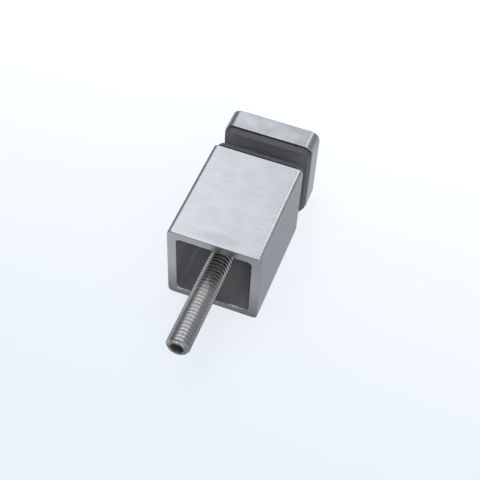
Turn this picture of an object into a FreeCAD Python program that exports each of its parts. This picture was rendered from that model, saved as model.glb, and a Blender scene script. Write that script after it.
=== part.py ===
import FreeCAD, Part
import math
import os
import Sketcher

# Square glass standoff, in millimetres. Its axis is Y, with the wall on the +Y side and the cap on -Y.
# The origin is on the stud's axis, in the plane of the spacer's open end, which bears on the wall.
# A station is a distance from that plane along the axis, counted towards the glass.

SIZES = {
    # spacer: a square tube with one closed, tapped end
    "body_width": 38.1,
    "body_length": 48.42,
    "body_wall": 3.81,
    "plate_thickness": 12.7,
    "body_corner_radius": 1.7,
    "hollow_corner_radius": 1.8,
    "body_edge_break": 0.35,
    "hollow_edge_break": 0.4,
    # stud: three-eighths of an inch across its thread, with a hexagon socket
    "stud_diameter": 9.525,
    "stud_projection": 35.71875,
    "stud_grip": 6.0,
    "stud_chamfer": 0.95,
    "socket_flats": 4.7625,
    "socket_depth": 5.0,
    "socket_drill_angle": 118,
    # tapped holes that take the stud
    "thread_clearance": 0.05,
    "tap_countersink": 0.8,
    # glass and the gaskets that hold it
    "glass_gap": 6.35,
    "gasket_thickness": 3.175,
    "gasket_inset": 0.35,
    "gasket_corner_radius": 3.4,
    "gasket_bevel_inset": 0.75,
    "gasket_bevel_depth": 2.0,
    "gasket_neck_depth": 0.8,
    "gasket_neck_inset": 0.75,
    "gasket_neck_radius": 2.65,
    "gasket_hole_clearance": 0.15,
    # plastic bush in the hole of the glass
    "sleeve_wall": 1.4875,
    "sleeve_bore_clearance": 0.1,
    "sleeve_end_gap": 0.3,
    "sleeve_chamfer": 0.4,
    # cap, which screws up the stud by its tightening travel for the thinnest glass
    "cap_width": 38.1,
    "cap_thickness": 9.525,
    "cap_corner_radius": 4.0,
    "cap_edge_radius": 0.7,
    "tightening_travel": 1.5875,
    "cap_floor_gap": 0.3,
}

REAR_GASKET_STATION = "sizes.body_length"
FRONT_GASKET_STATION = REAR_GASKET_STATION + " + sizes.gasket_thickness + sizes.glass_gap"
CAP_STATION = FRONT_GASKET_STATION + " + sizes.gasket_thickness"
RIM_THICKNESS = "sizes.gasket_thickness - sizes.gasket_neck_depth"
CLAMPED_DEPTH = "2 * sizes.gasket_thickness + sizes.glass_gap"
TAPPED_DIAMETER = "sizes.stud_diameter + 2 * sizes.thread_clearance"
SLEEVE_BORE = "sizes.stud_diameter + 2 * sizes.sleeve_bore_clearance"
SLEEVE_DIAMETER = SLEEVE_BORE + " + 2 * sizes.sleeve_wall"
TOUCH = 1e-4

doc = FreeCAD.newDocument("standoff")


def add_sheet():
    sheet = doc.addObject("Spreadsheet::Sheet", "sizes")
    for row, (alias, value) in enumerate(SIZES.items(), 1):
        sheet.set(f"A{row}", alias)
        sheet.set(f"B{row}", str(value))
        sheet.setAlias(f"B{row}", alias)
    doc.recompute()


def new_body(label):
    body = doc.addObject("PartDesign::Body", label)
    body.Label = label
    return body


def sketch_at(body, name, station):
    """Sketch square to the axis: its x is X, its y is Z and its normal points to the glass."""
    sketch = body.newObject("Sketcher::SketchObject", name)
    plane = next(item for item in body.Origin.OriginFeatures if item.Role == "XZ_Plane")
    sketch.AttachmentSupport = (plane, [""])
    sketch.MapMode = "FlatFace"
    sketch.setExpression("AttachmentOffset.Base.z", station)
    return sketch


def bind(sketch, constraint, name, size):
    index = sketch.addConstraint(constraint)
    sketch.renameConstraint(index, name)
    sketch.setExpression("Constraints." + name, size)


def closed_outline(sketch, points):
    """Straight lines through the points and back to the first, joined at their ends."""
    count = len(points)
    lines = []
    for i in range(count):
        lines.append(sketch.addGeometry(Part.LineSegment(points[i], points[(i + 1) % count]), False))
    for i in range(count):
        sketch.addConstraint(Sketcher.Constraint("Coincident", lines[i], 2, lines[(i + 1) % count], 1))
    return lines


def add_square(sketch, width):
    start = 10
    corners = [(-start, -start), (start, -start), (start, start), (-start, start)]
    lines = closed_outline(sketch, [FreeCAD.Vector(x, y, 0) for x, y in corners])
    for line in (lines[0], lines[2]):
        sketch.addConstraint(Sketcher.Constraint("Horizontal", line))
    for line in (lines[1], lines[3]):
        sketch.addConstraint(Sketcher.Constraint("Vertical", line))
    sketch.addConstraint(Sketcher.Constraint("Equal", lines[0], lines[1]))
    sketch.addConstraint(Sketcher.Constraint("Symmetric", lines[0], 1, lines[2], 1, -1, 1))
    bind(sketch, Sketcher.Constraint("DistanceX", lines[0], 1, lines[0], 2, 2 * start), "side", width)


def add_circle(sketch, diameter):
    start = 5
    centre = FreeCAD.Vector(0, 0, 0)
    circle = sketch.addGeometry(Part.Circle(centre, FreeCAD.Vector(0, 0, 1), start), False)
    sketch.addConstraint(Sketcher.Constraint("Coincident", circle, 3, -1, 1))
    bind(sketch, Sketcher.Constraint("Diameter", circle, 2 * start), "diameter", diameter)


def add_hexagon(sketch, flats):
    """Regular hexagon about the axis, two of its flats level, sized across flats."""
    start = 5
    angles = [math.radians(60 * i) for i in range(6)]
    points = [FreeCAD.Vector(start * math.cos(a), start * math.sin(a), 0) for a in angles]
    lines = closed_outline(sketch, points)
    centre = FreeCAD.Vector(0, 0, 0)
    guide = sketch.addGeometry(Part.Circle(centre, FreeCAD.Vector(0, 0, 1), start), True)
    sketch.addConstraint(Sketcher.Constraint("Coincident", guide, 3, -1, 1))
    for line in lines:
        sketch.addConstraint(Sketcher.Constraint("PointOnObject", line, 1, guide))
    for line in lines[1:]:
        sketch.addConstraint(Sketcher.Constraint("Equal", lines[0], line))
    sketch.addConstraint(Sketcher.Constraint("Horizontal", lines[1]))
    start_height = start * math.cos(math.radians(30))
    height = Sketcher.Constraint("Distance", -1, 1, lines[1], start_height)
    bind(sketch, height, "half_flats", flats + " / 2")


def pad(body, sketch, length):
    feature = body.newObject("PartDesign::Pad", sketch.Name + "_pad")
    feature.Profile = sketch
    feature.setExpression("Length", length)
    doc.recompute()
    return feature


def pocket(body, sketch, depth):
    """Cut towards the glass, and stop if the cut takes nothing away."""
    before = body.Shape.Volume
    feature = body.newObject("PartDesign::Pocket", sketch.Name + "_pocket")
    feature.Profile = sketch
    feature.Reversed = True
    feature.setExpression("Length", depth)
    doc.recompute()
    if not body.Shape.Volume < before:
        raise RuntimeError(feature.Name + " cuts nothing")
    return feature


def tapped_hole(body, sketch, depth):
    """Hole towards the glass at the thread's outer diameter, flat at its end, with a countersunk mouth."""
    doc.recompute()
    before = body.Shape.Volume
    feature = body.newObject("PartDesign::Hole", sketch.Name + "_hole")
    feature.Profile = sketch
    feature.Reversed = True
    feature.DepthType = "Dimension"
    feature.DrillPoint = "Flat"
    feature.HoleCutType = "Countersink"
    feature.HoleCutCountersinkAngle = 90
    feature.setExpression("Diameter", TAPPED_DIAMETER)
    feature.setExpression("HoleCutDiameter", TAPPED_DIAMETER + " + 2 * sizes.tap_countersink")
    feature.setExpression("Depth", depth)
    doc.recompute()
    if not body.Shape.Volume < before:
        raise RuntimeError(feature.Name + " cuts nothing")
    return feature


def dress(body, kind, base, size, edges):
    """Fillet or Chamfer on the edges of a feature that a test picks out."""
    feature = body.newObject("PartDesign::" + kind, base.Name + "_" + kind.lower())
    names = [f"Edge{i}" for i, edge in enumerate(base.Shape.Edges, 1) if edges(edge)]
    feature.Base = (base, names)
    feature.setExpression({"Fillet": "Radius", "Chamfer": "Size"}[kind], size)
    doc.recompute()
    return feature


def bevel(body, base, depth, inset, edges):
    """Chamfer that runs further along the axis than it goes in."""
    feature = body.newObject("PartDesign::Chamfer", base.Name + "_bevel")
    names = [f"Edge{i}" for i, edge in enumerate(base.Shape.Edges, 1) if edges(edge)]
    feature.Base = (base, names)
    feature.ChamferType = "Two distances"
    feature.setExpression("Size", depth)
    feature.setExpression("Size2", inset)
    doc.recompute()
    return feature


def value(expression):
    """Number that an expression on the sheet stands for."""
    return float(doc.getObject("sizes").evalExpression(expression.replace("sizes.", "")))


def corner_edge(width):
    """Test for an edge along the axis at a corner of a square of this width."""
    half = value(width) / 2

    def picks(edge):
        box = edge.BoundBox
        upright = box.XLength < TOUCH and box.ZLength < TOUCH
        return upright and abs(abs(box.XMin) - half) < TOUCH and abs(abs(box.ZMin) - half) < TOUCH

    return picks


def end_edge(station, low, high):
    """Test for an edge in the plane at a station whose middle is this far from the axis, side or up."""
    plane = -value(station)
    nearest = value(low) / 2
    furthest = value(high) / 2

    def picks(edge):
        box = edge.BoundBox
        middle = edge.valueAt((edge.FirstParameter + edge.LastParameter) / 2)
        reach = max(abs(middle.x), abs(middle.z))
        in_plane = box.YLength < TOUCH and abs(box.YMin - plane) < TOUCH
        return in_plane and nearest - TOUCH <= reach <= furthest + TOUCH

    return picks


def rounded_plate(body, name, station, width, thickness, radius):
    """Square block with rounded corners that starts at a station."""
    outline = sketch_at(body, name, station)
    add_square(outline, width)
    block = pad(body, outline, thickness)
    return dress(body, "Fillet", block, radius, corner_edge(width))


def spacer_body():
    body = new_body("spacer_body")
    width = "sizes.body_width"
    hollow = "sizes.body_width - 2 * sizes.body_wall"
    depth = "sizes.body_length - sizes.plate_thickness"
    rounded_plate(body, "spacer_outline", "0", width, "sizes.body_length", "sizes.body_corner_radius")
    mouth = sketch_at(body, "spacer_hollow", "0")
    add_square(mouth, hollow)
    tube = pocket(body, mouth, depth)
    tube = dress(body, "Fillet", tube, "sizes.hollow_corner_radius", corner_edge(hollow))
    for station in ("0", "sizes.body_length"):
        rim = end_edge(station, width + " - 2 * sizes.body_corner_radius", width)
        tube = dress(body, "Chamfer", tube, "sizes.body_edge_break", rim)
    lip = end_edge("0", hollow + " - 2 * sizes.hollow_corner_radius", hollow)
    dress(body, "Chamfer", tube, "sizes.hollow_edge_break", lip)
    centre = sketch_at(body, "spacer_thread", depth)
    add_circle(centre, TAPPED_DIAMETER)
    tapped_hole(body, centre, "sizes.plate_thickness")
    return body


def gasket(label, width, station, rim_station, neck_station, glass_station):
    """Soft square pad: a narrow neck on the metal and a wider rim, bevelled on the side of the glass."""
    body = new_body(label)
    side = width + " - 2 * sizes.gasket_inset"
    waist = side + " - 2 * sizes.gasket_neck_inset"
    corner = "sizes.gasket_corner_radius"
    neck_depth = "sizes.gasket_neck_depth"
    rounded_plate(body, label + "_neck", neck_station, waist, neck_depth, "sizes.gasket_neck_radius")
    plate = rounded_plate(body, label + "_rim", rim_station, side, RIM_THICKNESS, corner)
    rim = end_edge(glass_station, side + " - 2 * " + corner, side)
    bevel(body, plate, "sizes.gasket_bevel_depth", "sizes.gasket_bevel_inset", rim)
    opening = sketch_at(body, label + "_opening", station)
    add_circle(opening, SLEEVE_DIAMETER + " + 2 * sizes.gasket_hole_clearance")
    pocket(body, opening, "sizes.gasket_thickness")
    return body


def rear_gasket():
    station = REAR_GASKET_STATION
    rim_station = station + " + sizes.gasket_neck_depth"
    glass_station = station + " + sizes.gasket_thickness"
    return gasket("rear_gasket", "sizes.body_width", station, rim_station, station, glass_station)


def front_gasket():
    station = FRONT_GASKET_STATION
    neck_station = station + " + " + RIM_THICKNESS
    return gasket("front_gasket", "sizes.cap_width", station, station, neck_station, station)


def glass_sleeve():
    """Bush that stays short of both metal faces when the thinnest glass is clamped."""
    body = new_body("glass_sleeve")
    station = "sizes.body_length + sizes.sleeve_end_gap"
    length = CLAMPED_DEPTH + " - sizes.tightening_travel - 2 * sizes.sleeve_end_gap"
    outline = sketch_at(body, "sleeve_outline", station)
    add_circle(outline, SLEEVE_DIAMETER)
    bush = pad(body, outline, length)
    for end in (station, station + " + " + length):
        bush = dress(body, "Chamfer", bush, "sizes.sleeve_chamfer", end_edge(end, "0", SLEEVE_DIAMETER))
    bore = sketch_at(body, "sleeve_bore", station)
    add_circle(bore, SLEEVE_BORE)
    pocket(body, bore, length)
    return body


def clamp_cap():
    body = new_body("clamp_cap")
    width = "sizes.cap_width"
    corner = "sizes.cap_corner_radius"
    block = rounded_plate(body, "cap_outline", CAP_STATION, width, "sizes.cap_thickness", corner)
    for station in (CAP_STATION, CAP_STATION + " + sizes.cap_thickness"):
        rim = end_edge(station, width + " - 2 * " + corner, width)
        block = dress(body, "Fillet", block, "sizes.cap_edge_radius", rim)
    centre = sketch_at(body, "cap_thread", CAP_STATION)
    add_circle(centre, TAPPED_DIAMETER)
    tapped_hole(body, centre, "sizes.stud_grip + sizes.tightening_travel + sizes.cap_floor_gap")
    return body


def mounting_stud():
    """Threaded stud from its free tip at the wall to its end in the cap, at the thread's outer diameter."""
    body = new_body("mounting_stud")
    tip = "-sizes.stud_projection"
    end = CAP_STATION + " + sizes.stud_grip"
    outline = sketch_at(body, "stud_outline", tip)
    add_circle(outline, "sizes.stud_diameter")
    rod = pad(body, outline, "sizes.stud_projection + " + end)
    for station in (tip, end):
        rim = end_edge(station, "0", "sizes.stud_diameter")
        rod = dress(body, "Chamfer", rod, "sizes.stud_chamfer", rim)
    socket = sketch_at(body, "stud_socket", tip)
    add_hexagon(socket, "sizes.socket_flats")
    pocket(body, socket, "sizes.socket_depth")
    drill_point(body, tip + " + sizes.socket_depth")
    return body


def drill_point(body, station):
    """Cone that the drill leaves under the broached hexagon, turned from half of its section."""
    before = body.Shape.Volume
    sketch = body.newObject("Sketcher::SketchObject", "socket_drill")
    plane = next(item for item in body.Origin.OriginFeatures if item.Role == "XY_Plane")
    sketch.AttachmentSupport = (plane, [""])
    sketch.MapMode = "FlatFace"
    sketch.setExpression("AttachmentOffset.Base.y", "-(" + station + ")")
    start = 2
    points = [(0, 0), (0, -start), (start, 0)]
    axis, slope, top = closed_outline(sketch, [FreeCAD.Vector(x, y, 0) for x, y in points])
    sketch.addConstraint(Sketcher.Constraint("Coincident", axis, 1, -1, 1))
    sketch.addConstraint(Sketcher.Constraint("Vertical", axis))
    sketch.addConstraint(Sketcher.Constraint("Horizontal", top))
    radius = "sizes.socket_flats / 2"
    depth = radius + " / tan(sizes.socket_drill_angle * 1deg / 2)"
    bind(sketch, Sketcher.Constraint("DistanceX", top, 2, top, 1, start), "radius", radius)
    bind(sketch, Sketcher.Constraint("DistanceY", slope, 1, axis, 1, start), "depth", depth)
    cone = body.newObject("PartDesign::Groove", "socket_drill_groove")
    cone.Profile = sketch
    cone.ReferenceAxis = (sketch, ["V_Axis"])
    cone.Angle = 360
    doc.recompute()
    if not body.Shape.Volume < before:
        raise RuntimeError("the drill point cuts nothing")


def check(bodies):
    for item in doc.Objects:
        if "Invalid" in item.State or "Error" in item.State:
            raise RuntimeError(item.Name + " failed: " + ", ".join(item.State))
    for body in bodies:
        shape = body.Shape
        if shape.isNull() or not shape.isValid() or len(shape.Solids) != 1:
            raise RuntimeError(body.Label + " isn't one valid solid")


add_sheet()
bodies = [
    mounting_stud(),
    spacer_body(),
    rear_gasket(),
    glass_sleeve(),
    front_gasket(),
    clamp_cap(),
]
doc.recompute()
check(bodies)
os.makedirs("parts", exist_ok=True)
for body in bodies:
    body.Shape.exportStep("parts/" + body.Label + ".step")
    print(body.Label, round(body.Shape.Volume, 1), "mm3")
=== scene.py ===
import math

import bmesh
import bpy
import numpy as np
from mathutils import Matrix, Vector


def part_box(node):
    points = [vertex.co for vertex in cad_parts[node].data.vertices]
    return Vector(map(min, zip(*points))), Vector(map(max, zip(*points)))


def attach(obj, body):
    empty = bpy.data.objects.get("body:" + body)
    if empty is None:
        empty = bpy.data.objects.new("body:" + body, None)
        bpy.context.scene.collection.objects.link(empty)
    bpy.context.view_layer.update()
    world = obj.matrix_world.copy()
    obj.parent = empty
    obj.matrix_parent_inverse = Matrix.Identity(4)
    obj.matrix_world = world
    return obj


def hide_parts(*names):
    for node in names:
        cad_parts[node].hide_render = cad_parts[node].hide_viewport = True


# Square glass standoff. Its axis is Y: wall at +Y, cap at -Y. Shapes are worked out in millimetres.
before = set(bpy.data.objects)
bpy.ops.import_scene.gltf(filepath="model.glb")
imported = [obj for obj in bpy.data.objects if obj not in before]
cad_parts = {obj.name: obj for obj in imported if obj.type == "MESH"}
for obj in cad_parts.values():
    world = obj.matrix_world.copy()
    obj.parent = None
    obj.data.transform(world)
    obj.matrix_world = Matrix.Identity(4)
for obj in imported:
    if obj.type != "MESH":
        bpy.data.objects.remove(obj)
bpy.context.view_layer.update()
mm = 0.001


def reach(node):
    # wall-side station, cap-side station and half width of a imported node, in millimetres
    low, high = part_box(node)
    return high.y / mm, low.y / mm, high.x / mm


def squareWalk(flatSteps, cornerSteps, power=2, support=0.006):
    # Once round a square with rounded corners. A ring of any size is
    # centre * corner + (half - centre) * facing, where centre is how far out the middles of its corners
    # lie, so rings that share it are offsets. A corner is a quarter of the curve |x|^power + |y|^power = 1:
    # a circle at 2, and above that it leaves the flats more gently. Points of support keep the flats flat.
    run = np.concatenate([[support], np.linspace(0, 1, flatSteps + 2)[1:-1], [1 - support]])
    turn = np.linspace(0, np.pi / 2, cornerSteps + 1)
    flatCorner = np.stack([np.ones_like(run), 2 * run - 1], 1)
    flatFacing = np.tile([1.0, 0.0], (len(run), 1))
    arcFacing = np.clip(np.stack([np.cos(turn), np.sin(turn)], 1), 0, 1) ** (2 / power)
    corner = np.concatenate([flatCorner, np.ones_like(arcFacing)])
    facing = np.concatenate([flatFacing, arcFacing])
    quarter = np.arange(4) * np.pi / 2
    spin = np.array([[np.cos(quarter), -np.sin(quarter)], [np.sin(quarter), np.cos(quarter)]])
    return [np.einsum("abk,nb->kna", spin, part).reshape(-1, 2) for part in (corner, facing)]


def soften(rows, steps=5, support=0.05):
    # Rows are (station, half, centre, round, cut) at the corners of a closed profile. Each corner is cut
    # back by its own length on both sides and bridged by a parabola, with one more row outside it to keep
    # the flats flat.
    rows = np.array(rows, float)
    spot, isRound, cut = rows[:, :3], rows[:, 3], rows[:, 4:5]
    before = np.roll(spot, 1, 0) - spot
    after = np.roll(spot, -1, 0) - spot
    before /= np.maximum(np.linalg.norm(before[:, :2], axis=1, keepdims=True), 1e-9)
    after /= np.maximum(np.linalg.norm(after[:, :2], axis=1, keepdims=True), 1e-9)
    t = np.linspace(0, 1, steps)[None, :, None]
    start, end = spot + before * cut, spot + after * cut
    bridge = (1 - t) ** 2 * start[:, None] + 2 * t * (1 - t) * spot[:, None] + t ** 2 * end[:, None]
    lead, tail = start + before * support, end + after * support
    profile = np.concatenate([lead[:, None], bridge, tail[:, None]], 1).reshape(-1, 3)
    return np.column_stack([profile, np.repeat(isRound, steps + 2)])


def carry(profile, walk, rounding=0.1):
    # Profile rows (station, half, centre, round) carried round the axis: rings[row, point] = (x, y, z).
    # A round row is a circle. Its points lie at the angles of the points of a square whose corners are
    # rounded by a tenth.
    corner, facing = walk
    station, half, centre, isRound = (column[:, None, None] for column in profile.T)
    direction = corner + rounding * facing
    direction = direction / np.linalg.norm(direction, axis=1, keepdims=True)
    flat = np.where(isRound > 0.5, half * direction, centre * corner + (half - centre) * facing)
    return np.stack([flat[..., 0], np.broadcast_to(station[..., 0], flat.shape[:2]), flat[..., 1]], -1)


def ringFaces(rowCount, around):
    # quad (row, point) joins a ring to the next one and a point to the next one, closed both ways
    index = np.arange(rowCount * around).reshape(rowCount, around)
    nextRow = np.roll(index, -1, 0)
    return np.stack([index, np.roll(index, -1, 1), np.roll(nextRow, -1, 1), nextRow], -1).reshape(-1, 4)


def putMesh(name, points, faces, sharpAngle=34):
    # points in millimetres; doubles are merged, so that poles and seams close, and the faces turn outwards
    mesh = bpy.data.meshes.new(name)
    mesh.from_pydata((points.reshape(-1, 3) * mm).tolist(), [], faces.tolist())
    work = bmesh.new()
    work.from_mesh(mesh)
    bmesh.ops.remove_doubles(work, verts=work.verts, dist=1e-6)
    bmesh.ops.dissolve_degenerate(work, edges=work.edges, dist=1e-7)
    loose = [vert for vert in work.verts if not vert.link_faces]
    bmesh.ops.delete(work, geom=loose, context="VERTS")
    wires = [edge for edge in work.edges if not edge.link_faces]
    bmesh.ops.delete(work, geom=wires, context="EDGES")
    bmesh.ops.recalc_face_normals(work, faces=work.faces)
    work.to_mesh(mesh)
    work.free()
    mesh.shade_smooth()
    mesh.set_sharp_from_angle(angle=math.radians(sharpAngle))
    piece = bpy.data.objects.new(name, mesh)
    bpy.context.scene.collection.objects.link(piece)
    return piece


def faceSpots(piece):
    # middle of every face in millimetres, and the way it faces
    middle = np.empty(len(piece.data.polygons) * 3)
    facing = np.empty_like(middle)
    piece.data.polygons.foreach_get("center", middle)
    piece.data.polygons.foreach_get("normal", facing)
    return middle.reshape(-1, 3) / mm, facing.reshape(-1, 3)


def settle(piece, node, body, slot, *finishes):
    # the piece takes the node's place, rides on its body and gets its finishes
    for finish in finishes:
        piece.data.materials.append(finish)
    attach(piece, body)
    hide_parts(node)
    print("piece:", piece.name, len(piece.data.polygons), "faces, on", body)


def tone(code):
    # sRGB hex to linear RGBA
    part = np.array([int(code[i:i + 2], 16) for i in (1, 3, 5)]) / 255
    linear = np.where(part <= 0.04045, part / 12.92, ((part + 0.055) / 1.055) ** 2.4)
    return (*linear.tolist(), 1.0)


def addNode(tree, kind, inputs, **settings):
    # One node with its settings. An input is a value, the socket that feeds it, or a node whose first
    # output does. Inputs 2 and 3 of a Mix node are the numbers to mix, 4 and 5 the vectors, and 6 and 7 the
    # colours; the mixed vector is its output 1 and the mixed colour its output 2.
    made = tree.nodes.new("ShaderNode" + kind)
    for key, setting in settings.items():
        setattr(made, key, setting)
    for key, source in inputs.items():
        if isinstance(source, bpy.types.Node):
            source = source.outputs[0]
        if isinstance(source, bpy.types.NodeSocket):
            tree.links.new(source, made.inputs[key])
        else:
            made.inputs[key].default_value = source
    return made


def newMaterial(name):
    # empty material, its tree and its object coordinates
    material = bpy.data.materials.new(name)
    material.use_nodes = True
    tree = material.node_tree
    tree.nodes.clear()
    coords = addNode(tree, "TexCoord", {})
    return material, tree, coords


def closeMaterial(tree, part, colour, gloss, height, metallic):
    # the surface that shows, with relief from the height; metal mirrors its edge tint near its outline
    bump = addNode(tree, "Bump", {"Height": height, "Strength": part["relief"],
                                  "Distance": part["depth"] * mm})
    shader = addNode(tree, "BsdfPrincipled", {"Base Color": colour, "Metallic": metallic, "Roughness": gloss,
                                              "Normal": bump})
    if "edgeTint" in part:
        shader.inputs["Specular Tint"].default_value = tone(part["edgeTint"])
    addNode(tree, "OutputMaterial", {"Surface": shader})


def perMetre(*sizes):
    # pattern sizes in millimetres as repeats to the metre
    return tuple(1 / (size * mm) for size in sizes)


noiseSpread = {"From Min": 0.32, "From Max": 0.68}   # nearly all values of a noise lie in here


def brushedStainless(name, part):
    # Stainless steel, satin brushed on a belt: fine scratches across the width on every side, and level ones
    # on the ends. They give the eye soft stripes of tone and gloss, and spread highlights along the axis.
    material, tree, coords = newMaterial(name)
    spot = coords.outputs["Object"]
    run, gap = part["run"], part["gap"]
    facing = addNode(tree, "SeparateXYZ", {"Vector": coords.outputs["Normal"]})
    ends = addNode(tree, "Math", {0: facing.outputs["Y"]}, operation="ABSOLUTE")
    endLow, endHigh = part["endFacing"]
    isEnd = addNode(tree, "MapRange", {"Value": ends, "From Min": endLow, "From Max": endHigh})
    sides = addNode(tree, "Mapping", {"Vector": spot, "Scale": perMetre(run, gap, run)})
    level = addNode(tree, "Mapping", {"Vector": spot, "Scale": perMetre(run, run, gap)})
    along = addNode(tree, "Mix", {"Factor": isEnd, 4: sides, 5: level}, data_type="VECTOR")
    lines = addNode(tree, "TexNoise", {"Vector": along.outputs[1], "Scale": 1.0, "Detail": 4.0,
                                       "Roughness": 0.65})
    cloud = addNode(tree, "TexNoise", {"Vector": spot, "Scale": perMetre(part["patch"])[0], "Detail": 2.0})
    blend = addNode(tree, "Mix", {"Factor": part["cloudy"], 2: lines, 3: cloud})
    mark = addNode(tree, "MapRange", {"Value": blend, **noiseSpread})
    # the two sides across X are brushed finer, with less contrast
    across = addNode(tree, "Math", {0: facing.outputs["X"]}, operation="ABSOLUTE")
    sideLow, sideHigh = part["sideFacing"]
    calm = addNode(tree, "MapRange", {"Value": across, "From Min": sideLow, "From Max": sideHigh,
                                      "To Max": part["sideCalm"]})
    even = addNode(tree, "Mix", {"Factor": calm, 2: mark, 3: 0.5})   # towards the middle tone
    shade = addNode(tree, "Mix", {"Factor": even, 6: tone(part["dark"]), 7: tone(part["light"])},
                    data_type="RGBA")
    if "smudge" in part:
        # a faint smudge: its share falls from the middle to the rim of an ellipse
        offset = addNode(tree, "VectorMath", {0: spot, 1: tuple(v * mm for v in part["smudge"])},
                         operation="SUBTRACT")
        spread = addNode(tree, "VectorMath", {0: offset, 1: perMetre(*part["smudgeSize"])},
                         operation="MULTIPLY")
        away = addNode(tree, "VectorMath", {0: spread}, operation="LENGTH")
        rim, full = part["smudgeFade"]
        touched = addNode(tree, "MapRange", {"Value": away.outputs["Value"], "From Min": rim,
                                             "From Max": full})
        uneven = addNode(tree, "Math", {0: touched, 1: blend}, operation="MULTIPLY")
        shade = addNode(tree, "Mix", {"Factor": uneven, 6: shade.outputs[2], 7: tone(part["smudged"])},
                        data_type="RGBA")
    gloss = addNode(tree, "MapRange", {"Value": blend, **noiseSpread, "To Min": part["smooth"],
                                       "To Max": part["rough"]})
    closeMaterial(tree, part, shade.outputs[2], gloss, blend, metallic=1.0)
    return material


def sawnStainlessPaintedShade(name, part):
    # Stainless steel cut off with a saw and rubbed down: level scratches, duller than the brushed sides, and
    # darker towards the bottom, where the burrs are: painted shade.
    material, tree, coords = newMaterial(name)
    spot = coords.outputs["Object"]
    run, gap = part["run"], part["gap"]
    along = addNode(tree, "Mapping", {"Vector": spot, "Scale": perMetre(run, run, gap)})
    lines = addNode(tree, "TexNoise", {"Vector": along, "Scale": 1.0, "Detail": 3.0})
    place = addNode(tree, "SeparateXYZ", {"Vector": spot})
    # painted shade: the share of the light tone rises from low to high
    paintedShadeFade = addNode(tree, "MapRange", {"Value": place.outputs["Z"], "From Min": part["low"] * mm,
                                       "From Max": part["high"] * mm})
    blend = addNode(tree, "Mix", {"Factor": part["streaky"], 2: paintedShadeFade, 3: lines})
    shade = addNode(tree, "Mix", {"Factor": blend, 6: tone(part["dark"]), 7: tone(part["light"])},
                    data_type="RGBA")
    gloss = addNode(tree, "MapRange", {"Value": lines, "To Min": part["smooth"], "To Max": part["rough"]})
    closeMaterial(tree, part, shade.outputs[2], gloss, lines, metallic=1.0)
    return material


def grained(name, part):
    # Matt surface, moulded, drawn or torn, with no gloss of metal: a fine even grain in tone, gloss and
    # relief over slow cloudy changes. Where the part has a painted rim shade, the tone goes over to it from
    # the middle to the rim of a square, and where it has a painted mouth shade, over the last stretch before
    # the plane of the wall.
    material, tree, coords = newMaterial(name)
    spot = coords.outputs["Object"]
    fine = addNode(tree, "TexNoise", {"Vector": spot, "Scale": perMetre(part["grain"])[0], "Detail": 3.0})
    cloud = addNode(tree, "TexNoise", {"Vector": spot, "Scale": perMetre(part["patch"])[0], "Detail": 2.0})
    blend = addNode(tree, "Mix", {"Factor": 0.5, 2: fine, 3: cloud})   # even shares
    mark = addNode(tree, "MapRange", {"Value": blend, **noiseSpread})
    shade = addNode(tree, "Mix", {"Factor": mark, 6: tone(part["dark"]), 7: tone(part["light"])},
                    data_type="RGBA")
    # painted shade towards the rim of a face on the glass
    if "rimPaintedShade" in part:
        span = addNode(tree, "VectorMath", {0: spot}, operation="ABSOLUTE")
        away = addNode(tree, "SeparateXYZ", {"Vector": span})
        outward = addNode(tree, "Math", {0: away.outputs["X"], 1: away.outputs["Z"]}, operation="MAXIMUM")
        atRim = addNode(tree, "MapRange", {"Value": outward, "From Min": part["middle"] * mm,
                                           "From Max": part["rim"] * mm})
        shade = addNode(tree, "Mix", {"Factor": atRim, 6: shade.outputs[2], 7: tone(part["rimPaintedShade"])},
                        data_type="RGBA")
    # painted shade: darker over the last stretch before the mouth, where the light gets in
    if "mouthPaintedShade" in part:
        place = addNode(tree, "SeparateXYZ", {"Vector": spot})
        atMouth = addNode(tree, "MapRange", {"Value": place.outputs["Y"],
                                             "From Min": -part["paintedShadeDepth"] * mm, "From Max": 0.0})
        shade = addNode(tree, "Mix", {"Factor": atMouth, 6: shade.outputs[2], 7: tone(part["mouthPaintedShade"])},
                        data_type="RGBA")
    gloss = addNode(tree, "MapRange", {"Value": blend, **noiseSpread, "To Min": part["smooth"],
                                       "To Max": part["rough"]})
    closeMaterial(tree, part, shade.outputs[2], gloss, fine, metallic=0.0)
    return material


def rolledThread(name, part):
    # Stainless steel with a rolled thread: the dies leave the flanks smooth, so that they mirror each other
    # and the lamps, and the crests a little duller and darker. The tone follows the distance from the axis.
    material, tree, coords = newMaterial(name)
    spot = coords.outputs["Object"]
    across = addNode(tree, "VectorMath", {0: spot, 1: (1, 0, 1)}, operation="MULTIPLY")
    radius = addNode(tree, "VectorMath", {0: across}, operation="LENGTH")
    rise = addNode(tree, "MapRange", {"Value": radius.outputs["Value"], "From Min": part["flank"] * mm,
                                      "From Max": part["crest"] * mm})
    # the flat tip gets a share of the crests' finish
    facing = addNode(tree, "SeparateXYZ", {"Vector": coords.outputs["Normal"]})
    tipLow, tipHigh = part["tipFacing"]
    tip = addNode(tree, "MapRange", {"Value": facing.outputs["Y"], "From Min": tipLow, "From Max": tipHigh,
                                     "To Max": part["tipShare"]})
    bare = addNode(tree, "Math", {0: rise, 1: tip}, operation="MAXIMUM")
    fine = addNode(tree, "TexNoise", {"Vector": spot, "Scale": perMetre(part["grain"])[0], "Detail": 3.0})
    wear = addNode(tree, "Mix", {"Factor": part["patchy"], 2: bare, 3: fine})
    shade = addNode(tree, "Mix", {"Factor": wear, 6: tone(part["flankTone"]), 7: tone(part["crestTone"])},
                    data_type="RGBA")
    gloss = addNode(tree, "MapRange", {"Value": wear, "To Min": part["flankRough"],
                                       "To Max": part["crestRough"]})
    closeMaterial(tree, part, shade.outputs[2], gloss, fine, metallic=1.0)
    return material


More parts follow.
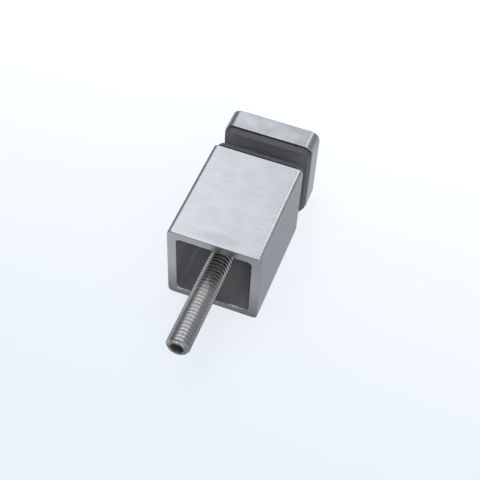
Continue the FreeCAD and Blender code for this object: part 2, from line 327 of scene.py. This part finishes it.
# Sizes of the patterns are in millimetres. Real scratches and grit are finer, but would not show. A pair
# such as endFacing holds the shares of the normal between which one finish goes over to the next.
brushed = dict(light="#b2b2b3", dark="#9a9a9b", run=20, gap=0.3, patch=6, cloudy=0.3, endFacing=(0.6, 0.8),
               sideFacing=(0.6, 0.9), sideCalm=0.7, smooth=0.22, rough=0.3, relief=0.06, depth=0.01,
               edgeTint="#cacacc")
# The smudge lies on the upper face by its front edge: its place, its half widths, and the shares of these at
# which it starts and at which it is full.
brushedSpacer = dict(brushed, smudged="#949496", smudge=(-1.0, -3.7, 19.05), smudgeSize=(9.5, 2.8, 1.5),
                     smudgeFade=(1.1, 0.55))
brushedCap = dict(brushed, light="#adaeae", dark="#858686", patch=9, cloudy=0.7, smooth=0.23, rough=0.31,
                  edgeTint="#e4e4e6")
# the dark tone, from low up to high, is painted shade on the lower part of the sawn end
sawn = dict(light="#b5b4b3", dark="#484746", low=-22, high=0, streaky=0.25, run=9, gap=0.5, smooth=0.18,
            rough=0.3, relief=0.1, depth=0.01)
# The hollow of the drawn tube is matt, with painted shade that darkens it by the mouth, where the light
# gets in, so that it shows an even dark grey. The burrs are torn and rough, and painted bright as painted
# highlights, and the punched socket is painted dark, as painted shade in the hole.
tubeInsidePaintedShade = dict(light="#9fa0a3", dark="#999a9c", mouthPaintedShade="#77787a", paintedShadeDepth=16, grain=0.6, patch=7,
                  smooth=0.6, rough=0.7, relief=0.2, depth=0.02)
# painted highlight: the burrs' bright, matt tone stands for glints on the torn steel
torn = dict(light="#dededf", dark="#c0c0c2", grain=0.3, patch=2, smooth=0.45, rough=0.6, relief=0.4,
            depth=0.03)
rolled = dict(crestTone="#9a9998", flankTone="#c0bfbe", flank=4.5, crest=4.7, grain=0.4, patchy=0.06,
              flankRough=0.27, crestRough=0.32, relief=0.03, depth=0.02, tipFacing=(0.93, 0.98),
              tipShare=0.75, edgeTint="#aeacaa")
# painted shade: the socket's dark, matt tone stands for the shade in the hole
punched = dict(light="#4a4a4c", dark="#404042", grain=0.5, patch=3, smooth=0.55, rough=0.65, relief=0.2,
               depth=0.02)
# EPDM rubber is dark and matt. The necks show as near-black lines along the metal, in painted tones: the
# rear one lies in light from above and is painted darker, as painted shade, and the front one is painted
# paler than the rubber, as painted light in its groove. The faces that press on the glass are painted paler,
# as painted light in the narrow gap, and darker towards their rims, as painted shade.
epdm = dict(light="#494a4c", dark="#434446", grain=0.35, patch=4, smooth=0.52, rough=0.64, relief=0.3,
            depth=0.02)
epdmRearNeckPaintedShade = dict(epdm, light="#222224", dark="#1c1c1e")
epdmFrontNeckPaintedLight = dict(epdm, light="#6e6e70", dark="#68686a")
epdmPadPaintedLightAndShade = dict(epdm, light="#7c7d7f", dark="#767779", rimPaintedShade="#5d5e60", middle=11.6, rim=18)
# nylon is near black, with a soft sheen
nylon = dict(light="#2b2b2e", dark="#222225", grain=0.4, patch=5, smooth=0.38, rough=0.48, relief=0.3,
             depth=0.01)

satinSteel = brushedStainless("brushedStainless", brushedSpacer)
capSteel = brushedStainless("brushedStainlessCap", brushedCap)
sawnSteelPaintedShade = sawnStainlessPaintedShade("sawnStainlessPaintedShade", sawn)
hollowPaintedShade = grained("drawnTubeInsidePaintedShade", tubeInsidePaintedShade)
burrPaintedHighlight = grained("tornStainlessPaintedHighlight", torn)
threadSteel = rolledThread("rolledThreadStainless", rolled)
socketPaintedShade = grained("punchedStainlessPaintedShade", punched)
rubber = grained("mouldedEpdm", epdm)
rearNeckPaintedShade = grained("mouldedEpdmRearNeckPaintedShade", epdmRearNeckPaintedShade)
frontNeckPaintedLight = grained("mouldedEpdmFrontNeckPaintedLight", epdmFrontNeckPaintedLight)
padPaintedLightAndShade = grained("mouldedEpdmPadPaintedLightAndShade", epdmPadPaintedLightAndShade)
sleevePlastic = grained("mouldedNylon", nylon)
print("materials:", len(bpy.data.materials))

tapped = dict(bore=4.8125, edge=0.1, sink=0.8)   # tapped holes: radius, edge break and width of countersink
margin = 0.02   # play when faces are picked by their place, in millimetres

# Spacer: square tube with a thick plate at the cap end, its mouth at the wall. A face at the mouth is sawn
# if the share of its normal along Y is above wallFacing.
spacer = dict(node="spacer_body", wall=3.81, plate=12.7, corner=2.6, hollowCorner=2.4, cornerPower=2.8,
              edge=0.35, farEdge=0.15, lip=0.4, floorCorner=0.3, shoulder=0.8, wallFacing=0.7, flatSteps=120,
              cornerSteps=14)
# Burrs that the cut left on the lower lip: where each starts and ends along X, and how far they stand up.
# They get the torn finish from the share shown on.
burr = dict(spans=[(-13.6, -6.2), (9.6, 14.8), (12.4, 15)], height=0.22, reach=0.5, ragged=(1.3, 3.7, 8.9),
            soft=0.5, lean=0.5, shown=0.15)


def spacerRows(part):
    # profile from the tapped hole through the hollow and over the mouth to the outside
    mouth, end, half = reach(part["node"])
    centre = half - part["corner"]
    hollow = half - part["wall"]
    hollowCentre = hollow - part["hollowCorner"]
    floor = end + part["plate"]
    bore, sink, shoulder = tapped["bore"], tapped["sink"], part["shoulder"]
    return [
        (end, bore, 0, 1, tapped["edge"]),
        (floor - sink, bore, 0, 1, 0),
        (floor, bore + sink, 0, 1, 0),
        (floor, hollow, hollowCentre, 0, part["floorCorner"]),
        (mouth, hollow, hollowCentre, 0, part["lip"]),
        (mouth, hollow + shoulder, hollowCentre, 0, 0),
        (mouth, half - shoulder, centre, 0, 0),
        (mouth, half, centre, 0, part["edge"]),
        (end, half, centre, 0, part["farEdge"]),
        (end, half - shoulder, centre, 0, 0),
    ]


def burrShare(x, part):
    # how much of a burr stands at X, from 0 to 1: a ragged sum of sines, kept to the spans
    ragged = sum(np.sin(x * pace + pace) for pace in part["ragged"]) / len(part["ragged"])
    within = sum(np.clip((x - low) / part["soft"], 0, 1) * np.clip((high - x) / part["soft"], 0, 1)
                 for low, high in part["spans"])
    return within * np.clip(0.5 + ragged, 0, 1)


def raiseBurrs(rings, profile, walk, mouth, hollow, part):
    # Rows near the lip's edge rise into the hollow by height * nearness * share, where nearness falls off as
    # a bell over the rows. Only the lower side has burrs.
    station, half = profile[:, 0], profile[:, 1]
    along, across = (station - mouth) / part["reach"], (half - hollow) / part["reach"]
    near = np.exp(-along ** 2 - across ** 2)[:, None]
    facing = walk[1]
    lower = np.clip(-facing[:, 1], 0, 1)
    rise = part["height"] * near * lower * burrShare(rings[..., 0], part)
    return rings + np.stack([-facing[:, 0] * rise, part["lean"] * rise, -facing[:, 1] * rise], -1)


def spacerPiece(part):
    # the tube with its burrs; each face gets its finish by where it lies and the way it faces
    mouth, end, half = reach(part["node"])
    hollow = half - part["wall"]
    profile = soften(spacerRows(part))
    walk = squareWalk(part["flatSteps"], part["cornerSteps"], part["cornerPower"])
    rings = raiseBurrs(carry(profile, walk), profile, walk, mouth, hollow, burr)
    piece = putMesh("spacer", rings, ringFaces(*rings.shape[:2]))
    middle, facing = faceSpots(piece)
    x, y, z = np.abs(middle.T)
    depth = mouth - end - part["plate"] + tapped["sink"]
    inside = (x < hollow + margin) & (z < hollow + margin) & (y > part["lip"]) & (y < depth)
    atMouth = (middle[:, 1] > mouth - part["edge"] / 2) & (facing[:, 1] > part["wallFacing"])
    fromLip = np.maximum(np.maximum(x, z) - hollow, y) / burr["reach"]
    needed = burr["shown"] + (1 - burr["shown"]) * fromLip
    atBurr = (middle[:, 2] < 0) & (burrShare(middle[:, 0], burr) > needed)
    finish = np.select([atBurr, inside, atMouth], [3, 1, 2])   # places in the row of finishes below
    piece.data.polygons.foreach_set("material_index", finish.astype(np.int32))
    settle(piece, part["node"], "spacer", "satin_steel", satinSteel, hollowPaintedShade, sawnSteelPaintedShade, burrPaintedHighlight)


spacerPiece(spacer)

# Gaskets: a narrow neck on the metal and a wider rim that tapers to the glass. A face presses on the glass
# if the share of its normal along Y is above glassFacing.
gasket = dict(hole=6.5, corner=3.4, neckDepth=0.8, neckInset=0.75, bevelDepth=2.0, bevelInset=0.75,
              soft=0.15, glassFacing=0.9, flatSteps=24, cornerSteps=12)


def gasketPiece(name, node, body, metal, glass, half, neckPaintedTone, part):
    # profile from the hole over the neck and the rim to the face on the glass
    way = np.sign(glass - metal)
    centre = half - part["corner"]
    neck = half - part["neckInset"]
    rimStart = metal + way * part["neckDepth"]
    rimEnd = glass - way * part["bevelDepth"]
    hole, soft = part["hole"], part["soft"]
    rows = [
        (metal, hole, 0, 1, soft),
        (metal, neck, centre, 0, soft),
        (rimStart, neck, centre, 0, soft),
        (rimStart, half, centre, 0, soft),
        (rimEnd, half, centre, 0, soft),
        (glass, half - part["bevelInset"], centre, 0, soft),
        (glass, hole, 0, 1, soft),
    ]
    rings = carry(soften(rows), squareWalk(part["flatSteps"], part["cornerSteps"]))
    piece = putMesh(name, rings, ringFaces(*rings.shape[:2]))
    middle, facing = faceSpots(piece)
    atNeck = way * (middle[:, 1] - metal) < part["neckDepth"] + margin
    atGlass = way * facing[:, 1] > part["glassFacing"]
    finish = np.select([atNeck, atGlass], [1, 2])   # places in the row of finishes below
    piece.data.polygons.foreach_set("material_index", finish.astype(np.int32))
    # the neck and the faces on the glass take painted tones of the same rubber
    settle(piece, node, body, "gasket_rubber", rubber, neckPaintedTone, padPaintedLightAndShade)


rearMetal, rearGlass, rearHalf = reach("rear_gasket")
gasketPiece("rearGasket", "rear_gasket", "rear_pad", rearMetal, rearGlass, rearHalf, rearNeckPaintedShade, gasket)
frontGlass, frontMetal, frontHalf = reach("front_gasket")
gasketPiece("frontGasket", "front_gasket", "front_pad", frontMetal, frontGlass, frontHalf, frontNeckPaintedLight,
            gasket)

# Cap: solid square with rounded edges and a blind tapped hole for the stud.
cap = dict(node="clamp_cap", corner=4.6, cornerPower=2.4, edge=0.5, edgeSteps=7, holeDepth=7.8875,
           shoulder=1.1, flatSteps=24, cornerSteps=18)


def capPiece(part):
    # profile from the bottom of the hole over the side on the gasket to the middle of the outer face
    inner, outer, half = reach(part["node"])
    centre = half - part["corner"]
    shoulder = half - part["shoulder"]
    floor = inner - part["holeDepth"]
    bore, sink = tapped["bore"], tapped["sink"]
    rows = [
        (floor, 0, 0, 1, 0),
        (floor, bore, 0, 1, 0),
        (inner - sink, bore, 0, 1, 0),
        (inner, bore + sink, 0, 1, 0),
        (inner, shoulder, centre, 0, 0),
        (inner, half, centre, 0, part["edge"]),
        (outer, half, centre, 0, part["edge"]),
        (outer, shoulder, centre, 0, 0),
        (outer, 0, 0, 1, 0),
    ]
    walk = squareWalk(part["flatSteps"], part["cornerSteps"], part["cornerPower"])
    rings = carry(soften(rows, part["edgeSteps"]), walk)
    piece = putMesh("cap", rings, ringFaces(*rings.shape[:2]))
    settle(piece, part["node"], "cap", "satin_steel", capSteel)


capPiece(cap)

# Sleeve: plastic bush round the stud, in the hole of the glass.
sleeve = dict(node="glass_sleeve", bore=4.8625, boreEdge=0.15, chamfer=0.4, flatSteps=16, cornerSteps=8)


def sleevePiece(part):
    # profile of a round bush, with softened edges
    near, far, radius = reach(part["node"])
    rows = [
        (near, part["bore"], 0, 1, part["boreEdge"]),
        (near, radius, 0, 1, part["chamfer"]),
        (far, radius, 0, 1, part["chamfer"]),
        (far, part["bore"], 0, 1, part["boreEdge"]),
    ]
    rings = carry(soften(rows), squareWalk(part["flatSteps"], part["cornerSteps"]))
    piece = putMesh("sleeve", rings, ringFaces(*rings.shape[:2]))
    settle(piece, part["node"], "stud", "sleeve_plastic", sleevePlastic)


sleevePiece(sleeve)

# Stud: right-hand rolled thread, 16 to the inch, with a hexagon socket in its wall end.
stud = dict(node="mounting_stud", pitch=1.5875, around=96, chamfer=0.95, crest=0.175, root=0.2, depth=0.86,
            flats=4.7625, socketDepth=5.0, socketBreak=0.32, drillAngle=118, sharpAngle=30)


def threadRows(part):
    # One pitch of the profile as (share of the pitch, drop from the crest): flat crest, sloping flank, flat
    # root, sloping flank. The crest and the root are given as shares of the pitch, and with this depth they
    # leave the flanks at 60 degrees to each other.
    crest, root, deep = part["crest"], part["root"], part["depth"]
    rootStart = (1 + crest - root) / 2
    rootEnd = rootStart + root
    share = [0, crest, (crest + rootStart) / 2, rootStart, rootEnd, (rootEnd + 1) / 2]
    drop = [0, 0, deep / 2, deep, deep, deep / 2]
    return np.array(share), np.array(drop)


def threadedGrid(part):
    # Rows follow the thread: y = start + pitch * (turn + share + angle / 360), radius = crest - drop, both
    # held to the stud's ends and to the cone of its chamfers. The last column joins the first one, a turn
    # further on.
    tip, foot, radius = reach(part["node"])
    share, drop = threadRows(part)
    turns = math.ceil((tip - foot) / part["pitch"]) + 2
    rowStart = (np.arange(turns)[:, None] + share).reshape(-1) - 1
    angle = np.arange(part["around"]) / part["around"]
    y = np.clip(foot + part["pitch"] * (rowStart[:, None] + angle), foot, tip)
    cone = radius - part["chamfer"] + np.minimum(tip - y, y - foot)
    r = np.minimum(radius - np.tile(drop, turns)[:, None], cone)
    turn = 2 * np.pi * angle
    points = np.stack([r * np.sin(turn), y, r * np.cos(turn)], -1)
    index = np.arange(y.size).reshape(y.shape)
    seam = np.concatenate([index[len(share):, :1], np.repeat(index[-1:, :1], len(share), 0)])
    wide = np.concatenate([index, seam], 1)
    faces = np.stack([wide[:-1, :-1], wide[:-1, 1:], wide[1:, 1:], wide[1:, :-1]], -1).reshape(-1, 4)
    return points.reshape(-1, 3), faces


def studEnds(part):
    # rings from the chamfer's inner edge to the socket's drill point, and from the foot's rim to its middle
    tip, foot, radius = reach(part["node"])
    turn = 2 * np.pi * np.arange(part["around"]) / part["around"]
    facet = np.cos((turn + np.pi / 6) % (np.pi / 3) - np.pi / 6)   # a hexagon lies at half its flats / facet
    apothem = part["flats"] / 2
    rim = np.full_like(turn, radius - part["chamfer"])
    hexagon = apothem / facet
    drilled = np.full_like(turn, apothem)
    bottom = tip - part["socketDepth"]
    point = bottom - apothem / math.tan(math.radians(part["drillAngle"] / 2))
    mouth = hexagon + part["socketBreak"]
    socket = [
        (tip, rim),
        (tip, mouth),
        (tip - part["socketBreak"], hexagon),
        (bottom, hexagon),
        (bottom, drilled),
        (point, 0 * turn),
    ]
    back = [(foot, rim), (foot, 0 * turn)]
    parts = []
    for rings in (socket, back):
        y = np.array([ring[0] for ring in rings])[:, None]
        r = np.array([ring[1] for ring in rings])
        points = np.stack([r * np.sin(turn), np.broadcast_to(y, r.shape), r * np.cos(turn)], -1)
        faces = ringFaces(*r.shape).reshape(*r.shape, 4)[:-1].reshape(-1, 4)
        parts.append((points.reshape(-1, 3), faces))
    return parts


def studPiece(part):
    # thread and ends in one mesh; the faces in the socket get a finish of their own
    points, faces = threadedGrid(part)
    for morePoints, moreFaces in studEnds(part):
        faces = np.concatenate([faces, moreFaces + len(points)])
        points = np.concatenate([points, morePoints])
    piece = putMesh("stud", points, faces, part["sharpAngle"])
    middle = faceSpots(piece)[0]
    tip, foot = reach(part["node"])[:2]
    fromTip = tip - middle[:, 1]
    socketReach = part["flats"] / math.sqrt(3) + part["socketBreak"]   # out to the hexagon's corners
    nearAxis = np.hypot(middle[:, 0], middle[:, 2]) < socketReach
    inSocket = nearAxis & (fromTip > part["socketBreak"] / 4) & (fromTip < (tip - foot) / 2)
    piece.data.polygons.foreach_set("material_index", inSocket.astype(np.int32))
    settle(piece, part["node"], "stud", "stud_steel", threadSteel, socketPaintedShade)


studPiece(stud)

# Floor, lights and camera. The floor's size is in metres. The places where its tone changes are in
# millimetres.
stage = dict(size=8.0, nearTone="#e3eaf2", farTone="#ffffff", nearY=60, farY=-190, glow=0.878, own=0.2,
             plain="#e6e6e6", fadeWay=(-0.55, 0.83, 0), fadeStart=5, fadeEnd=45, faded=0.45)


def floorMaterial(part):
    # Pale board. Seen directly or in a reflection it glows to white and keeps a share of its own shading, so
    # the shadow stays. The tint goes from pale blue in front to white behind. Reflections see it darker in
    # front, as where a board ends.
    material, tree, coords = newMaterial("paleBoard")
    spot = addNode(tree, "SeparateXYZ", {"Vector": coords.outputs["Object"]})
    depth = addNode(tree, "MapRange", {"Value": spot.outputs["Y"], "From Min": part["farY"] * mm,
                                       "From Max": part["nearY"] * mm})
    tint = addNode(tree, "Mix", {"Factor": depth, 6: tone(part["farTone"]), 7: tone(part["nearTone"])},
                   data_type="RGBA")
    rays = addNode(tree, "LightPath", {})
    seen = addNode(tree, "Math", {0: rays.outputs["Is Camera Ray"], 1: rays.outputs["Is Glossy Ray"]},
                   operation="MAXIMUM")
    shown = addNode(tree, "Math", {0: seen, 1: rays.outputs["Is Transmission Ray"]}, operation="MAXIMUM")
    ahead = addNode(tree, "VectorMath", {0: coords.outputs["Object"], 1: part["fadeWay"]},
                    operation="DOT_PRODUCT")
    fade = addNode(tree, "MapRange", {"Value": ahead.outputs["Value"], "From Min": part["fadeStart"] * mm,
                                      "From Max": part["fadeEnd"] * mm, "To Min": part["glow"],
                                      "To Max": part["glow"] * part["faded"]})
    level = addNode(tree, "Mix", {"Factor": rays.outputs["Is Glossy Ray"], 2: part["glow"], 3: fade})
    glow = addNode(tree, "Emission", {"Color": tint.outputs[2], "Strength": level})
    board = addNode(tree, "BsdfDiffuse", {"Color": tint.outputs[2]})
    lit = addNode(tree, "MixShader", {"Fac": 1 - part["own"], 1: board})
    both = addNode(tree, "AddShader", {0: glow, 1: lit})
    plain = addNode(tree, "BsdfDiffuse", {"Color": tone(part["plain"])})
    surface = addNode(tree, "MixShader", {"Fac": shown, 1: plain, 2: both})
    addNode(tree, "OutputMaterial", {"Surface": surface})
    return material


def floorPiece(part):
    # one square, level with the underside of the spacer
    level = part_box("spacer_body")[0].z
    half = part["size"] / 2
    corners = [(-half, -half, level), (half, -half, level), (half, half, level), (-half, half, level)]
    mesh = bpy.data.meshes.new("floor")
    mesh.from_pydata(corners, [], [(0, 1, 2, 3)])
    mesh.materials.append(floorMaterial(part))
    board = bpy.data.objects.new("floor", mesh)
    bpy.context.scene.collection.objects.link(board)


floorPiece(stage)

# Lamps in metres, each turned to its aim, or straight down where it has none. The overhead boxes are
# mirrored by the upper faces, brighter on the left, the strip by the rounded long edge on the right and the
# box at the zenith by the edges towards the wall. The wings show in the thread, and the front and side boxes
# light the hollow and the gap.
lamps = [
    dict(name="overheadLeft", spot=(0.3975, -0.55, 0.65), width=0.445, height=0.7, radiance=1.77,
         tint="#f5f7ff"),
    dict(name="overheadRight", spot=(0.12, -0.55, 0.65), width=0.11, height=0.7, radiance=1.38,
         tint="#f5f7ff"),
    dict(name="stripBox", spot=(-0.119, -0.676, 0.69), width=0.258, height=0.304, radiance=2.7,
         tint="#f3f6ff"),
    dict(name="middleWing", spot=(-0.0675, -0.347, 0.65), width=0.265, height=0.294, radiance=1.05,
         tint="#ffffff"),
    dict(name="rightWing", spot=(-0.35, -0.347, 0.65), width=0.3, height=0.294, radiance=1.75,
         tint="#ffffff"),
    dict(name="leftWing", spot=(0.86, -0.4, 0.65), width=0.48, height=0.4, radiance=1.2, tint="#ffffff"),
    dict(name="zenithBox", spot=(0.1775, 0.11, 0.65), width=0.225, height=0.62, radiance=2.6,
         tint="#ffffff"),
    dict(name="frontBox", spot=(-0.18, 0.62, 0.62), aim=(0, 0, 0), width=0.4, height=0.4, radiance=3.0,
         tint="#ffffff"),
    dict(name="sideBox", spot=(-0.55, 0.66, 0.38), aim=(0, 0, 0), width=0.7, height=0.7, radiance=1.6,
         tint="#ffffff"),
]
# the dome's levels: right to left over a range of the direction's X, the front's share over one of its Y
dome = dict(right=0.66, left=0.28, across=(-0.7, 0.7), front=0.55, ahead=(-0.2, 0.6), tint="#f0f4ff")


def addLamp(part):
    # an area lamp of even radiance: its power is radiance * pi * width * height
    lamp = bpy.data.lights.new(part["name"], "AREA")
    lamp.shape = "RECTANGLE"
    lamp.size = part["width"]
    lamp.size_y = part["height"]
    lamp.energy = part["radiance"] * math.pi * part["width"] * part["height"]
    lamp.color = tone(part["tint"])[:3]
    holder = bpy.data.objects.new(part["name"], lamp)
    place = Vector(part["spot"])
    aim = Vector(part.get("aim", (place.x, place.y, 0)))
    holder.location = place
    holder.rotation_euler = (aim - place).to_track_quat("-Z", "Y").to_euler()
    holder.visible_camera = False
    bpy.context.scene.collection.objects.link(holder)


def studioDome(part):
    # dim surroundings, brighter on the right, which is -X, and dimmer in front
    world = bpy.data.worlds.new("studio")
    bpy.context.scene.world = world
    world.use_nodes = True
    tree = world.node_tree
    tree.nodes.clear()
    coords = addNode(tree, "TexCoord", {})
    spot = addNode(tree, "SeparateXYZ", {"Vector": coords.outputs["Generated"]})
    rightX, leftX = part["across"]
    side = addNode(tree, "MapRange", {"Value": spot.outputs["X"], "From Min": rightX, "From Max": leftX,
                                      "To Min": part["right"], "To Max": part["left"]})
    backY, frontY = part["ahead"]
    front = addNode(tree, "MapRange", {"Value": spot.outputs["Y"], "From Min": backY, "From Max": frontY,
                                       "To Min": 1.0, "To Max": part["front"]})
    level = addNode(tree, "Math", {0: side, 1: front}, operation="MULTIPLY")
    sky = addNode(tree, "Background", {"Color": tone(part["tint"]), "Strength": level})
    addNode(tree, "OutputWorld", {"Surface": sky})


for lampPart in lamps:
    addLamp(lampPart)
studioDome(dome)

# eye, aim, sensor and near clip in millimetres, roll in degrees; the lens and the picture are in pixels
view = dict(eye=(-81.74, 219.54, 316.74), aim=(-6.378, -11.610, 11.798), roll=3.47, lensPixels=1019.9,
            pictureWidth=480, sensorWidth=36, clipStart=10)


def cameraAt(part):
    # the camera looks from its eye to its aim and is then rolled
    eye, aim = Vector(part["eye"]) * mm, Vector(part["aim"]) * mm
    look = (aim - eye).to_track_quat("-Z", "Y").to_matrix().to_4x4()
    camera = bpy.data.cameras.new("camera")
    camera.sensor_width = part["sensorWidth"]
    camera.lens = part["lensPixels"] / part["pictureWidth"] * camera.sensor_width
    camera.clip_start = part["clipStart"] * mm
    cameraObject = bpy.data.objects.new("camera", camera)
    roll = Matrix.Rotation(math.radians(part["roll"]), 4, "Z")
    cameraObject.matrix_world = Matrix.Translation(eye) @ look @ roll
    bpy.context.scene.collection.objects.link(cameraObject)
    bpy.context.scene.camera = cameraObject


cameraAt(view)
bpy.context.scene.view_settings.view_transform = "Standard"
print("stage: floor,", len(lamps), "lamps, dome and camera")
